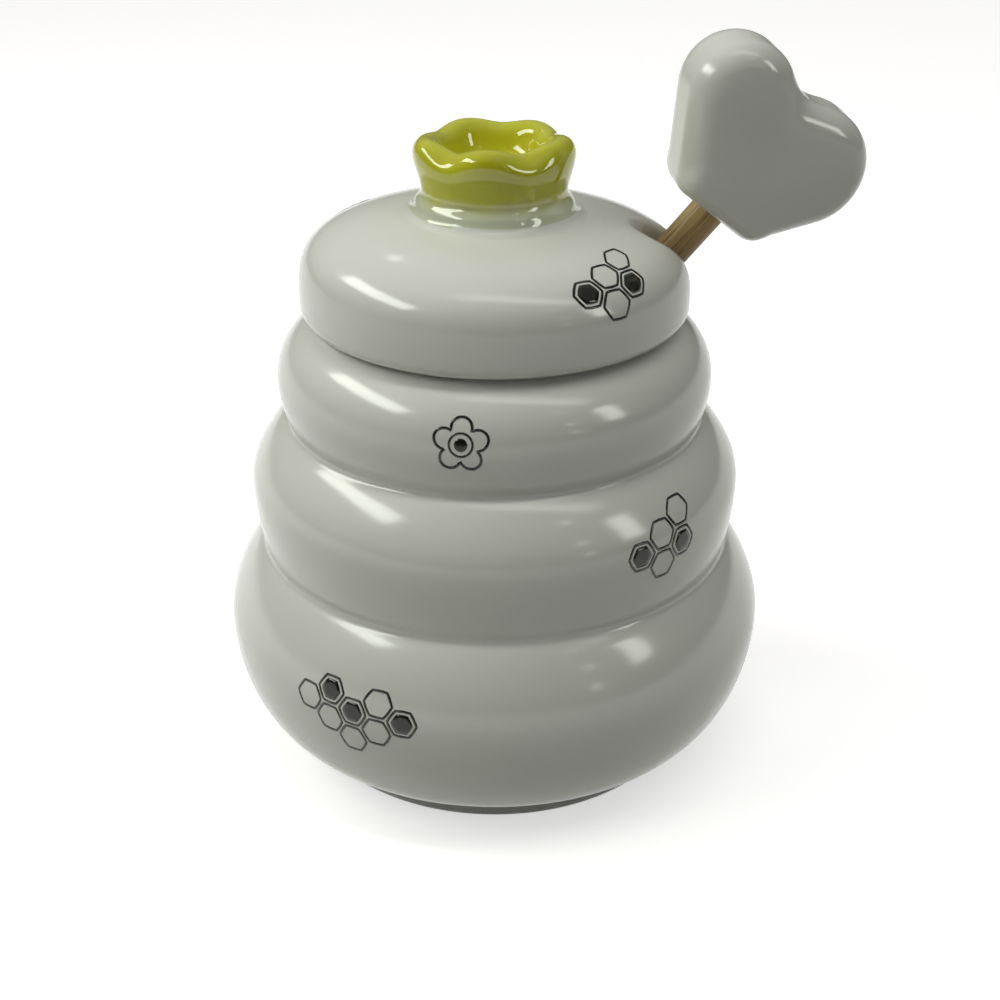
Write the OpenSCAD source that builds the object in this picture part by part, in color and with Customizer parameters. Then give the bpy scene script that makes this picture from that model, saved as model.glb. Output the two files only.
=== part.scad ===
// Beehive honey pot with a loose lid, a flower knob and a heart-topped honey dipper.
// Millimetres. The origin is the centre of the pot's underside, +Z is up, and the dipper leans
// towards +X through the notch in the lid.

/* [Pot] */
// Widest diameter of the lowest ring
belly_d = 80; // [78:0.5:90]
// Height of the lowest ring's widest line
belly_z = 20.4; // [19:0.1:23]
// Diameter in the lower groove
low_groove_d = 68.2; // [66:0.1:70]
// Height of the lower groove
low_groove_z = 32.5; // [31:0.1:34]
// Widest diameter of the middle ring
middle_d = 71; // [70.5:0.1:76]
// Height of the middle ring's widest line
middle_z = 42.4; // [41:0.1:44]
// Diameter in the upper groove
high_groove_d = 59; // [57.5:0.1:60]
// Height of the upper groove
high_groove_z = 51.5; // [50:0.1:53]
// Widest diameter of the top ring
top_d = 61.9; // [61:0.1:66]
// Height of the top ring's widest line
top_z = 57.5; // [56:0.1:59]
// Height of the rim that the lid sits on
rim_z = 66; // [64:0.1:70]
// Diameter of the mouth
mouth_d = 40.6; // [39.5:0.1:42]
// Outer diameter of the flat part of the rim
rim_flat_d = 46; // [45:0.1:48]
// Thickness of the wall
pot_wall = 3.5; // [3:0.1:4.5]
// Thickness of the shoulder at the mouth
shoulder_t = 3.8; // [3:0.1:5]
// Thickness of the floor
floor_t = 4.8; // [3.5:0.1:7]
// Diameter of the foot
foot_d = 60; // [56:0.5:62]
// Height of the foot
foot_h = 3.8; // [2:0.1:4.5]

/* [Lid] */
// Widest diameter of the lid
lid_d = 54.5; // [53:0.1:58]
// Height of the lid's widest line above the rim
lid_edge_h = 2.3; // [1.5:0.1:3.5]
// How far the lid's lower edge rounds in to its seat
lid_tuck = 3.5; // [2.5:0.1:3.8]
// Height of the dome above the lid's widest line
dome_h = 12.6; // [11:0.1:16]
// Thickness of the lid's wall
lid_wall = 3.2; // [2.5:0.1:3.8]
// Depth of the flange that goes into the mouth
flange_h = 4; // [2.5:0.1:5]
// Thickness of the flange at its root
flange_t = 3; // [2.4:0.1:3.2]
// Gap between the flange and the mouth
flange_gap = 0.6; // [0.4:0.05:1]
// How far the notch reaches in from the lid's edge
notch_reach = 10.4; // [9:0.1:11]
// Gap beside the stick in the notch
notch_gap = 1.5; // [1:0.1:2.2]

/* [Knob] */
// Diameter of the knob's glazed foot
knob_foot_d = 22.4; // [21:0.1:24]
// Mean diameter of the flower at its rim
knob_d = 19.6; // [18:0.1:20.6]
// Height of the knob
knob_h = 10.6; // [9:0.1:14]
// Depth of the flower's cup
cup_depth = 5.4; // [4.6:0.1:6.5]
// How far each petal stands out of the mean rim
petal_out = 1.4; // [0.5:0.1:2]
// How far each petal stands up above the mean rim
petal_up = 0.75; // [0:0.05:1.5]
// Number of petals
petals = 5; // [4:1:7]

/* [Dipper] */
// Diameter of the stick
stick_d = 5; // [4:0.1:6]
// Lean of the stick from upright, in degrees
stick_lean = 39.3; // [36:0.1:41]
// Gap between the stick and the rim that it leans on
stick_gap = 0.3; // [0.2:0.05:1]
// Length of stick between the rim and the heart
stick_out = 19.2; // [18.5:0.1:26]
// Diameter of the grooved head
head_d = 16; // [13:0.1:17]
// Length of the grooved head
head_l = 20; // [16:0.5:22]
// Number of grooves in the head
head_grooves = 5; // [3:1:6]
// Depth of each groove
groove_depth = 2; // [1:0.1:2.4]
// Gap between the head and the pot that it rests in
head_gap = 0.3; // [0.2:0.05:1]
// Glue gap round the stick in its two sockets
glue_gap = 0.05; // [0.02:0.01:0.1]
// Depth of the sockets that hold the stick
socket_depth = 12; // [8:0.5:13]

/* [Heart] */
// Width of the heart
heart_w = 28.7; // [26:0.1:32]
// Length of the heart along the stick
heart_l = 21.4; // [20:0.1:25]
// Thickness of the heart
heart_t = 14; // [11:0.1:15]
// Radius of each lobe
lobe_r = 7.7; // [7.2:0.1:8.4]
// Width of the blunt tip
tip_w = 15.7; // [12:0.1:18]
// Rounding of the heart's edges
heart_round = 4.5; // [3:0.1:5]
// Turn of the heart about the stick, in degrees
heart_turn = 13.3; // [0:0.1:25]
// How far the heart's middle lies beside the stick's line
heart_shift = 1.6; // [0:0.1:2]

/* [Hidden] */
around = 96;
steps = 10;
edge_r = 0.6;
tip_r = 3;

belly_r = belly_d / 2;
mouth_r = mouth_d / 2;
foot_r = foot_d / 2;
floor_r = foot_r - 8;
inside_r = belly_r - pot_wall;
lid_r = lid_d / 2;
stick_r = stick_d / 2;
rim_flat_r = rim_flat_d / 2;

// The lid's widest line, its seat for the knob and the exponents of its full, flat-topped dome
lid_z = rim_z + lid_edge_h;
dome_p = 2.45;
dome_q = 3.85;
knob_foot_r = knob_foot_d / 2;
knob_z = lid_z + dome_h * pow(1 - pow(knob_foot_r / lid_r, dome_p), 1 / dome_q);
flange_r = mouth_r - flange_gap;
flange_taper = 1.5;
notch_w = stick_d + 2 * notch_gap;
notch_x = lid_r - notch_reach;
notch_wall = 2.4;

// Where the stick's centre line crosses the rim's height, so that it leans on the rim
stick_x = mouth_r + edge_r * tan(stick_lean) - (stick_r + stick_gap) / cos(stick_lean);

// The head's outline, from its lower end up, as radius and height from its middle
head_pitch = head_l / (head_grooves * 2 + 1);
head_end = 0.72; // how wide the head's ends are beside its middle
function barrel(z) = head_d / 2 * (head_end + (1 - head_end) * cos(z / head_l * 180));
function head_point(i, z) = [barrel(z) - (i % 2 == 1 ? groove_depth : 0), z];
head_outline = [for (i = [0 : head_grooves * 2]) for (end = [0, 1])
    head_point(i, (i + end) * head_pitch - head_l / 2)];

// Height of the pot's inside at radius r, below its widest line
function floor_at(r) = r < floor_r ? floor_t : r > inside_r ? rim_z :
    belly_z - (belly_z - floor_t) * sqrt(1 - pow((r - floor_r) / (inside_r - floor_r), 2));

// The room left below the head when its middle lies this far down the stick from the rim's height
function head_room(down) = min([for (p = head_outline) for (side = [-1, 1])
    let (x = stick_x + (p[1] - down) * sin(stick_lean) + side * p[0] * cos(stick_lean),
        z = rim_z + (p[1] - down) * cos(stick_lean) - side * p[0] * sin(stick_lean))
    z - floor_at(abs(x))]);

// The head slides down until it rests in the corner of the pot
head_at = -max([for (down = [head_l : 0.05 : rim_z * 1.4]) if (head_room(down) >= head_gap) down]);

// A rounded quarter from [r0, z0], upright there, to [r1, z1], level there
function quarter(r0, z0, r1, z1, p = 2, q = 2) = [for (i = [0 : steps])
    let (a = 90 * i / steps)
    [r1 + (r0 - r1) * pow(cos(a), 2 / p), z0 + (z1 - z0) * pow(sin(a), 2 / q)]];

// The pot's rings: a share of round lobe, less the last steep bit of its arc, and the rest a soft wave
round_share = 0.78;
arc_used = 0.96;
function arc(t) = (1 - sqrt(1 - pow(arc_used * t, 2))) / (1 - sqrt(1 - pow(arc_used, 2)));
function swell(t) = round_share * arc(t) + (1 - round_share) * (1 - cos(180 * t)) / 2;
function lobe(r0, z0, r1, z1, i0 = 1) = [for (i = [i0 : steps])
    [r0 + (r1 - r0) * swell(i / steps), z0 + (z1 - z0) * i / steps]];
function back(list) = [for (i = [len(list) - 1 : -1 : 0]) list[i]];

// The three rings' outline from the widest line of the belly to that of the top ring, less inset
function rings(inset) = concat(
    lobe(belly_r - inset, belly_z, low_groove_d / 2 - inset, low_groove_z),
    back(lobe(middle_d / 2 - inset, middle_z, low_groove_d / 2 - inset, low_groove_z, 0)),
    lobe(middle_d / 2 - inset, middle_z, high_groove_d / 2 - inset, high_groove_z),
    back(lobe(top_d / 2 - inset, top_z, high_groove_d / 2 - inset, high_groove_z, 0)));

// Drops a point that repeats the one before it
function clean(list) = [for (i = [0 : len(list) - 1]) if (i == 0 || norm(list[i] - list[i - 1]) > 0.001) list[i]];

function pot_outside() = concat(
    [[0, 0], [foot_r - edge_r, 0], [foot_r, edge_r]],
    back(quarter(belly_r, belly_z, foot_r, foot_h)),
    rings(0),
    quarter(top_d / 2, top_z, rim_flat_r, rim_z),
    [[0, rim_z]]);

function pot_inside() = concat(
    [[0, floor_t]],
    back(quarter(inside_r, belly_z, floor_r, floor_t)),
    rings(pot_wall),
    quarter(top_d / 2 - pot_wall, top_z, mouth_r, rim_z - shoulder_t),
    [[mouth_r, rim_z - edge_r], [mouth_r + edge_r, rim_z], [mouth_r + edge_r, rim_z + 1], [0, rim_z + 1]]);

module turned(points) {
    rotate_extrude($fn = around) polygon(clean(points));
}

module pot_body() {
    color("ivory") difference() {
        turned(pot_outside());
        turned(pot_inside());
    }
}

function lid_outside() = concat(
    [[0, rim_z - flange_h], [flange_r - flange_taper, rim_z - flange_h], [flange_r, rim_z]],
    back(quarter(lid_r, lid_z, lid_r - lid_tuck, rim_z)),
    [for (p = quarter(lid_r, lid_z, 0, lid_z + dome_h, dome_p, dome_q)) if (p[0] > knob_foot_r) p],
    [[knob_foot_r, knob_z], [0, knob_z]]);

// The hollow's outline, which follows the dome at the wall's thickness
hollow_r = flange_r - flange_t;
function lid_hollow() = concat(
    [[0, rim_z - flange_h - 1], [hollow_r, rim_z - flange_h - 1], [hollow_r, rim_z + lid_wall - 1]],
    [for (p = quarter(lid_r - lid_wall, rim_z + lid_wall, 0, lid_z + dome_h - lid_wall, dome_p, dome_q))
        if (p[0] > knob_foot_r) p],
    [[knob_foot_r, knob_z - lid_wall], [0, knob_z - lid_wall]]);

// The notch's plan, from its round end at x outwards
module notch_plan(x, w) {
    translate([x + w / 2, 0]) circle(d = w, $fn = 64);
    translate([x + w / 2, -w / 2]) square([lid_d, w]);
}

module notch(x, w) {
    translate([0, 0, rim_z - flange_h - 1]) linear_extrude(lid_edge_h + dome_h + flange_h + 2) notch_plan(x, w);
}

// Moves its children into the dipper's frame: Z runs up the stick from the rim's height
module on_stick() {
    translate([stick_x, 0, rim_z]) rotate([0, stick_lean, 0]) children();
}

module lid() {
    color("ivory") difference() {
        turned(lid_outside());
        difference() {
            turned(lid_hollow());
            notch(notch_x - notch_wall, notch_w + 2 * notch_wall);
        }
        notch(notch_x, notch_w);
        on_stick() cylinder(r = stick_r + notch_gap, h = 4 * flange_h, center = true, $fn = 64);
    }
}

// The flower's outline: radius, height as shares of the knob, and how much of the petals shows
function knob_rows() = let (r = knob_d / 2, f = 1 - cup_depth / knob_h) [
    [knob_foot_r, 0, 0], [knob_foot_r - 0.9, 0.06, 0], [r + 0.35, 0.15, 0], [r + 0.2, 0.28, 0],
    [r + 0.3, 0.42, 0.15], [r + 0.4, 0.58, 0.45], [r + 0.3, 0.73, 0.8], [r + 0.1, 0.86, 1],
    [r - 0.35, 0.96, 1], [r - 1.2, 1, 1], [r - 2, 0.97, 1], [r - 2.6, 0.88, 0.9],
    [r - 3, 0.76, 0.6], [r - 3.7, f + 0.1, 0.3], [r - 5.2, f, 0]];

// Runs from -1 in a dip between petals to 1 on a petal, with one petal towards -Y
function petal(a) = 2 * pow(abs(cos((a + 90) * petals / 2)), 1.3) - 1;

module flower_knob() {
    rows = knob_rows();
    n = 12 * petals;
    count = len(rows);
    points = concat(
        [for (row = rows) for (i = [0 : n - 1]) let (a = 360 * i / n, r = row[0] + row[2] * petal_out * petal(a))
            [r * cos(a), r * sin(a), knob_z + row[1] * (knob_h - petal_up) + row[2] * petal_up * petal(a)]],
        [[0, 0, knob_z], [0, 0, knob_z + rows[count - 1][1] * (knob_h - petal_up)]]);
    sides = [for (k = [0 : count - 2]) for (i = [0 : n - 1]) let (a = k * n + i, b = k * n + (i + 1) % n)
        each [[a, a + n, b], [b, a + n, b + n]]];
    ends = [for (i = [0 : n - 1]) let (j = (i + 1) % n, last = (count - 1) * n)
        each [[i, j, count * n], [last + j, last + i, count * n + 1]]];
    color("gold") polyhedron(points, concat(sides, ends));
}

// A flat disc with a rounded edge, lying across Y
module puck(x, z, r) {
    b = min(heart_round, r - 0.1);
    outline = concat([[0, -heart_t / 2]], [for (a = [-90 : 15 : 90])
        [r - b + b * cos(a), sign(a) * (heart_t / 2 - heart_round) + heart_round * sin(a)]], [[0, heart_t / 2]]);
    translate([x, 0, z]) rotate([90, 0, 0]) rotate_extrude($fn = 40) polygon(outline);
}

module half_heart(side) {
    hull() {
        puck(side * (heart_w / 2 - lobe_r), heart_l - lobe_r, lobe_r);
        puck(tip_w / 2 - tip_r, tip_r, tip_r);
        puck(-tip_w / 2 + tip_r, tip_r, tip_r);
    }
}

module dipper_heart() {
    color("ivory") difference() {
        on_stick() rotate([0, 0, heart_turn]) translate([-heart_shift, 0, stick_out]) {
            half_heart(1);
            half_heart(-1);
        }
        on_stick() cylinder(r = stick_r + glue_gap, h = stick_out + socket_depth, $fn = 64);
    }
}

module dipper_stick() {
    low = head_at + head_l / 2 - socket_depth + glue_gap;
    color("burlywood") on_stick() translate([0, 0, low])
        cylinder(r = stick_r, h = stick_out + socket_depth - glue_gap - low, $fn = 64);
}

module dipper_head() {
    color("tan") on_stick() translate([0, 0, head_at]) difference() {
        rotate_extrude($fn = around) polygon(concat([[0, -head_l / 2]], head_outline, [[0, head_l / 2]]));
        translate([0, 0, head_l / 2 - socket_depth]) cylinder(r = stick_r + glue_gap, h = socket_depth + 1, $fn = 64);
    }
}

pot_body();
lid();
flower_knob();
dipper_heart();
dipper_stick();
dipper_head();
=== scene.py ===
"""Dresses the beehive honey pot: glazed pot and lid, flower knob, heart-topped dipper and line art."""

import math

import bpy
import numpy as np
from bpy.props import FloatProperty, FloatVectorProperty, IntProperty, PointerProperty
from mathutils import Matrix, Vector, noise
from mathutils.geometry import convex_hull_2d


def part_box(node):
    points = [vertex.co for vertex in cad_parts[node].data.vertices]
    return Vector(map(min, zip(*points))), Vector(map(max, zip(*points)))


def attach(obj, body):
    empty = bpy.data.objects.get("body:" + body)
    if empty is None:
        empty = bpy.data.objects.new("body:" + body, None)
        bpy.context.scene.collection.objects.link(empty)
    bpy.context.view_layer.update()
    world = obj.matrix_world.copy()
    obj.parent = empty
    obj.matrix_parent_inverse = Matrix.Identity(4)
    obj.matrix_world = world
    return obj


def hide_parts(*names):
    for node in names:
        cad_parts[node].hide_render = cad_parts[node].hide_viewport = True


bl_info = {
    "name": "Honey Pot",
    "version": (1, 0, 0),
    "blender": (4, 5, 0),
    "location": "3D View > Sidebar > Honey Pot",
    "description": "Builds the glazed beehive honey pot, its lid and its dipper around the packed frame",
    "category": "Add Mesh",
}

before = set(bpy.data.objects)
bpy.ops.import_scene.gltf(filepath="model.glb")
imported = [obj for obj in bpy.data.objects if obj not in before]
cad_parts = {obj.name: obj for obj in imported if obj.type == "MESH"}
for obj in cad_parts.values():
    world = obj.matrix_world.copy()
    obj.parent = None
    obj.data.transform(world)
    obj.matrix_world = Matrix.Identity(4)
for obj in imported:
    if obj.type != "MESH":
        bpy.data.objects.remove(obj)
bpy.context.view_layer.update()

MM = 0.001
pot_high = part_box("pot_body")[1]
lid_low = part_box("lid")[0]
knob_low, knob_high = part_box("flower_knob")
stick_low, stick_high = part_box("dipper_stick")


def srgb(code):
    """A colour written as #RRGGBB, turned to linear light with full opacity."""
    shares = [int(code[i : i + 2], 16) / 255 for i in (1, 3, 5)]
    return tuple(c / 12.92 if c <= 0.04045 else ((c + 0.055) / 1.055) ** 2.4 for c in shares) + (1.0,)


def length_property(name, description, default):
    """A length that a user can change."""
    return FloatProperty(name=name, description=description, default=default, unit="LENGTH")


def angle_property(name, description, degrees):
    """An angle that a user can change, given in degrees."""
    return FloatProperty(name=name, description=description, default=math.radians(degrees), subtype="ANGLE")


def colour_property(name, description, code):
    """A colour that a user can change, given as #RRGGBB."""
    return FloatVectorProperty(
        name=name, description=description, default=srgb(code), size=4, subtype="COLOR", min=0, max=1
    )


class PotSizes(bpy.types.PropertyGroup):
    """The pot's turned outline. Its belly and its rim follow the frame."""

    belly_d: length_property("Belly", "Widest diameter of the lowest ring", 2 * pot_high.x)
    belly_z: length_property("Belly height", "Height of the belly's widest line", 20.4 * MM)
    low_groove_d: length_property("Lower groove", "Diameter in the lower groove", 68.2 * MM)
    low_groove_z: length_property("Lower groove height", "Height of the lower groove", 32.5 * MM)
    middle_d: length_property("Middle ring", "Widest diameter of the middle ring", 71 * MM)
    middle_z: length_property("Middle height", "Height of the middle ring's widest line", 42.4 * MM)
    high_groove_d: length_property("Upper groove", "Diameter in the upper groove", 59 * MM)
    high_groove_z: length_property("Upper groove height", "Height of the upper groove", 51.5 * MM)
    top_d: length_property("Top ring", "Widest diameter of the top ring", 61.9 * MM)
    top_z: length_property("Top height", "Height of the top ring's widest line", 57.5 * MM)
    rim_z: length_property("Rim", "Height of the rim that the lid sits on", pot_high.z)
    rim_flat_d: length_property("Rim's flat", "Outer diameter of the flat part of the rim", 46 * MM)
    mouth_d: length_property("Mouth", "Diameter of the mouth", 40.6 * MM)
    foot_d: length_property("Foot", "Diameter of the foot", 60 * MM)
    foot_h: length_property("Foot height", "Height of the foot", 3.8 * MM)
    wall: length_property("Wall", "Thickness of the wall", 3.5 * MM)
    shoulder: length_property("Shoulder", "Thickness of the shoulder at the mouth", 3.8 * MM)
    floor: length_property("Floor", "Thickness of the floor", 4.8 * MM)
    unevenness: length_property("Unevenness", "How far the cast wall strays from true", 0.16 * MM)


class LidSizes(bpy.types.PropertyGroup):
    """The lid's dome, its notch and the flange under it."""

    edge_h: length_property("Edge height", "Height of the widest line above the rim", 2.3 * MM)
    tuck: length_property("Tuck", "How far the lower edge rounds in to its seat", 3.5 * MM)
    dome_h: length_property("Dome", "Height of the dome above the widest line", 12.6 * MM)
    wall: length_property("Wall", "Thickness of the wall", 3.2 * MM)
    flange_gap: length_property("Flange gap", "Gap between the flange and the mouth", 0.6 * MM)
    flange_t: length_property("Flange", "Thickness of the flange at its root", 3 * MM)
    notch_reach: length_property("Notch", "How far the notch reaches in from the edge", 8.2 * MM)
    notch_w: length_property("Notch width", "Width of the notch", 8 * MM)
    notch_round: length_property("Notch rounding", "Rounding of the notch's glazed shoulders", 1 * MM)
    sag: length_property("Sag", "How far the dome sank beside the notch in firing", 0.9 * MM)


class KnobSizes(bpy.types.PropertyGroup):
    """The five-petal flower cup on the lid."""

    foot_d: length_property("Foot", "Diameter of the bead at the knob's foot", 21.9 * MM)
    rim_d: length_property("Rim", "Mean diameter of the flower at its rim", 19.6 * MM)
    cup: length_property("Cup", "Depth of the flower's cup", 5.4 * MM)
    petal_out: length_property("Petal swell", "How far each petal stands out", 1.4 * MM)
    petal_up: length_property("Petal rise", "How far each petal stands up", 0.75 * MM)


class DipperSizes(bpy.types.PropertyGroup):
    """The stick, the grooved head and the heart on the dipper."""

    stick_d: length_property("Stick", "Diameter of the stick", 5 * MM)
    lean: angle_property("Lean", "Lean of the stick from upright", 39.3)
    socket: length_property("Sockets", "Length of stick in each of its sockets", 11.95 * MM)
    head_d: length_property("Head", "Diameter of the grooved head", 16 * MM)
    head_l: length_property("Head length", "Length of the grooved head", 20 * MM)
    grooves: IntProperty(name="Grooves", description="Number of grooves in the head", default=5, min=1)
    groove: length_property("Groove depth", "Depth of each groove", 2 * MM)
    heart_w: length_property("Heart width", "Width of the heart", 28.7 * MM)
    heart_l: length_property("Heart length", "Length of the heart along the stick", 21.4 * MM)
    heart_t: length_property("Heart thickness", "Thickness of the heart", 14 * MM)
    lobe_r: length_property("Lobes", "Mean radius of the lobes", 7.7 * MM)
    lobe_reach: length_property(
        "Lobe reach", "How much further out the inner lobe lies than the outer one", 1.2 * MM
    )
    lobe_skew: length_property(
        "Lobe skew", "How much wider and lower than the mean the outer lobe is", 0.5 * MM
    )
    tip_w: length_property("Tip", "Width of the blunt tip", 16.5 * MM)
    tip_r: length_property("Tip corners", "Radius of the tip's corners", 3 * MM)
    heart_round: length_property(
        "Heart rounding", "Rounding of the edges round the heart's face", 3.3 * MM
    )
    back_round: length_property("Back rounding", "Rounding of the edges round the heart's back", 6 * MM)
    heart_turn: angle_property("Heart turn", "Turn of the heart about the stick", 13.3)
    heart_shift: length_property(
        "Heart shift", "How far the heart lies beside the stick's line", 1.25 * MM
    )


class Finishes(bpy.types.PropertyGroup):
    """The colours of the glazes, the woods and the print."""

    white: colour_property("White glaze", "Colour of the glaze over the cast body", "#DDE2CB")
    # Besides glaze that lies thick, the pooled colour paints the shade in the pot's grooves and hollows
    pooled_and_shaded: colour_property("Pooled glaze", "Colour of the white glaze where it lies thick", "#C3C6B0")
    lemon: colour_property("Lemon glaze", "Colour of the flower's glaze", "#D3D42E")
    lemon_deep: colour_property(
        "Deep lemon", "Colour of the flower's glaze where it lies thick", "#C9BC28"
    )
    bisque: colour_property("Bisque", "Colour of the bare fired clay on the foot", "#CFC6B4")
    bamboo: colour_property("Bamboo", "Colour of the stick", "#C4A56C")
    fibre: colour_property("Bamboo fibre", "Colour of the dark fibres in the stick", "#6B4B22")
    beech: colour_property("Beech", "Colour of the turned head", "#CFAE80")
    ink: colour_property("Print", "Colour of the printed lines", "#15160F")


class StageSizes(bpy.types.PropertyGroup):
    """The camera's place and the level of the lights."""

    camera_back: length_property(
        "Camera distance", "Distance of the camera in front of the pot's axis", 200.29 * MM
    )
    camera_z: length_property("Camera height", "Height of the camera above the floor", 140.1 * MM)
    pitch: angle_property("Pitch", "How far the camera looks down", 27.47)
    lens: FloatProperty(name="Lens", description="Focal length on a 36 mm sensor, in millimetres", default=54)
    shift: FloatProperty(
        name="Shift", description="Sideways shift of the picture, as a share of its width", default=0.0053
    )
    ambient: FloatProperty(name="Ambient", description="Strength of the room's light overhead", default=0.5)


# Outlines in the plane of the axis, as (radius, height)


def quarter(start, end, p=2.0, q=2.0, steps=32):
    """A rounded quarter from start, upright there, to end, level there."""
    angle = np.linspace(0, math.pi / 2, steps + 1)
    radius = end[0] + (start[0] - end[0]) * np.cos(angle).clip(0) ** (2 / p)
    height = start[1] + (end[1] - start[1]) * np.sin(angle) ** (2 / q)
    return np.column_stack([radius, height])


def lobe(widest, groove, steps=32):
    """A ring from its widest line to the groove beside it: mostly round, with a softer foot."""
    round_share, arc_used = 0.78, 0.96
    t = np.linspace(0, 1, steps + 1)
    arc = 1 - np.sqrt(1 - (arc_used * t) ** 2)
    swell = round_share * arc / arc[-1] + (1 - round_share) * (1 - np.cos(math.pi * t)) / 2
    radius = widest[0] + (groove[0] - widest[0]) * swell
    return np.column_stack([radius, widest[1] + (groove[1] - widest[1]) * t])


def averaged(points, reach, step):
    """Evenly spaced points, each averaged with its neighbours over about this reach, with the ends kept."""
    half = math.ceil(3 * reach / step)
    weights = np.exp(-0.5 * (np.arange(-half, half + 1) * step / reach) ** 2)
    before = 2 * points[0] - points[half:0:-1]
    after = 2 * points[-1] - points[-2 : -half - 2 : -1]
    padded = np.vstack([before, points, after])
    return np.column_stack([np.convolve(padded[:, k], weights / weights.sum(), "valid") for k in range(2)])


def soften(points, reach, step=0.4 * MM):
    """Spaces an outline's points evenly and rounds its corners over about this reach."""
    gaps = np.linalg.norm(np.diff(points, axis=0), axis=1)
    points = np.asarray(points)[np.insert(gaps > 0.001 * MM, 0, True)]
    along = np.insert(np.cumsum(np.linalg.norm(np.diff(points, axis=0), axis=1)), 0, 0)
    even = np.linspace(0, along[-1], int(along[-1] / step) + 1)
    points = np.column_stack([np.interp(even, along, points[:, k]) for k in range(2)])
    return averaged(points, reach, step)


def rings(pot, inset):
    """The three rings from the belly's widest line to that of the top ring, moved in by inset."""
    belly = (pot.belly_d / 2 - inset, pot.belly_z)
    low = (pot.low_groove_d / 2 - inset, pot.low_groove_z)
    middle = (pot.middle_d / 2 - inset, pot.middle_z)
    high = (pot.high_groove_d / 2 - inset, pot.high_groove_z)
    top = (pot.top_d / 2 - inset, pot.top_z)
    return np.vstack([lobe(belly, low), lobe(middle, low)[::-1], lobe(middle, high), lobe(top, high)[::-1]])


def pot_outside(pot):
    """The pot's outside, from the foot's edge to the flat of the rim."""
    belly, foot = (pot.belly_d / 2, pot.belly_z), (pot.foot_d / 2, pot.foot_h)
    shoulder = quarter((pot.top_d / 2, pot.top_z), (pot.rim_flat_d / 2, pot.rim_z))
    return np.vstack([quarter(belly, foot)[::-1], rings(pot, 0), shoulder])


def pot_outline(pot):
    """The whole pot, from the middle of its underside round to the middle of its floor."""
    foot_r, edge, recess, ring_w = pot.foot_d / 2, 0.6 * MM, 0.9 * MM, 4.5 * MM
    ring_r = foot_r - ring_w
    under = [[0, recess], [ring_r - recess, recess], [ring_r, 0], [foot_r - edge, 0], [foot_r, edge]]
    inside_r, mouth_r = pot.belly_d / 2 - pot.wall, pot.mouth_d / 2
    floor_r = foot_r - 8 * MM
    lip = [[mouth_r + edge, pot.rim_z], [mouth_r, pot.rim_z - edge]]
    throat = quarter((pot.top_d / 2 - pot.wall, pot.top_z), (mouth_r, pot.rim_z - pot.shoulder))
    bowl = quarter((inside_r, pot.belly_z), (floor_r, pot.floor))
    inside = [throat[::-1], rings(pot, pot.wall)[::-1], bowl, [[0, pot.floor]]]
    return np.vstack([under, pot_outside(pot), lip, *inside])


DOME = {"p": 2.45, "q": 3.85}  # exponents of the lid's full, flat-topped dome


def lid_dome(lid, rim_z, inset=0.0):
    """The dome of the lid from its widest line to its middle, or the hollow under it at this inset."""
    widest = (-lid_low.x - inset, rim_z + (lid.wall if inset else lid.edge_h))
    return quarter(widest, (0, rim_z + lid.edge_h + lid.dome_h - inset), steps=96, **DOME)


# Meshes


def turn(outline, count=192):
    """Points and faces of the surface that an outline makes as it turns about Z, closed at the axis."""
    angle = np.arange(count) * 2 * math.pi / count
    radius, height = outline[1:-1, :1], outline[1:-1, 1:]
    rows = len(radius)
    wall = np.stack([radius * np.cos(angle), radius * np.sin(angle), height + 0 * angle], axis=-1)
    poles = [[0, 0, outline[0, 1]], [0, 0, outline[-1, 1]]]
    a = (np.arange(rows - 1)[:, None] * count + np.arange(count)).ravel()
    b = (np.arange(rows - 1)[:, None] * count + (np.arange(count) + 1) % count).ravel()
    quads = np.column_stack([a, b, b + count, a + count])
    here, after, last = np.arange(count), (np.arange(count) + 1) % count, (rows - 1) * count
    low_fan = np.column_stack([np.full(count, rows * count), after, here])
    high_fan = np.column_stack([np.full(count, rows * count + 1), last + here, last + after])
    return np.vstack([wall.reshape(-1, 3), poles]), quads.tolist() + low_fan.tolist() + high_fan.tolist()


def outline_distance(spots, outline):
    """Signed distance from flat spots to a closed outline, negative inside."""
    nearest = np.full(len(spots), np.inf)
    inside = np.zeros(len(spots), bool)
    x, y = spots[:, 0], spots[:, 1]
    for (ax, ay), (bx, by) in zip(outline, np.roll(outline, -1, axis=0)):
        ex, ey = bx - ax, by - ay
        if ex * ex + ey * ey < 1e-18:
            continue
        share = np.clip(((x - ax) * ex + (y - ay) * ey) / (ex * ex + ey * ey), 0, 1)
        nearest = np.minimum(nearest, (x - ax - ex * share) ** 2 + (y - ay - ey * share) ** 2)
        if ey:
            inside ^= ((ay > y) != (by > y)) & (x < ax + ex * (y - ay) / ey)
    return np.sqrt(nearest) * np.where(inside, -1, 1)


def flat_field(outline):
    """A function that gives flat spots' distance to a closed outline, looked up in a fine table."""
    cell, margin = 0.12 * MM, 3 * MM
    low = outline.min(axis=0) - margin
    counts = np.ceil((outline.max(axis=0) + margin - low) / cell).astype(int)
    across, up = [low[k] + cell * np.arange(counts[k]) for k in range(2)]
    spots = np.stack(np.meshgrid(across, up, indexing="ij"), axis=-1).reshape(-1, 2)
    table = outline_distance(spots, outline).reshape(counts)

    def distance(x, y):
        a = np.clip((x - low[0]) / cell, 0, counts[0] - 1.001)
        b = np.clip((y - low[1]) / cell, 0, counts[1] - 1.001)
        i, j = a.astype(int), b.astype(int)
        s, t = a - i, b - j
        near = table[i, j] * (1 - s) + table[i + 1, j] * s
        far = table[i, j + 1] * (1 - s) + table[i + 1, j + 1] * s
        return near * (1 - t) + far * t

    return distance


def common(a, b, radius):
    """The distance to what two solids have in common, with the edge between them rounded."""
    corner = np.hypot(np.maximum(a + radius, 0), np.maximum(b + radius, 0))
    return np.minimum(np.maximum(a, b), -radius) + corner


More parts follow.
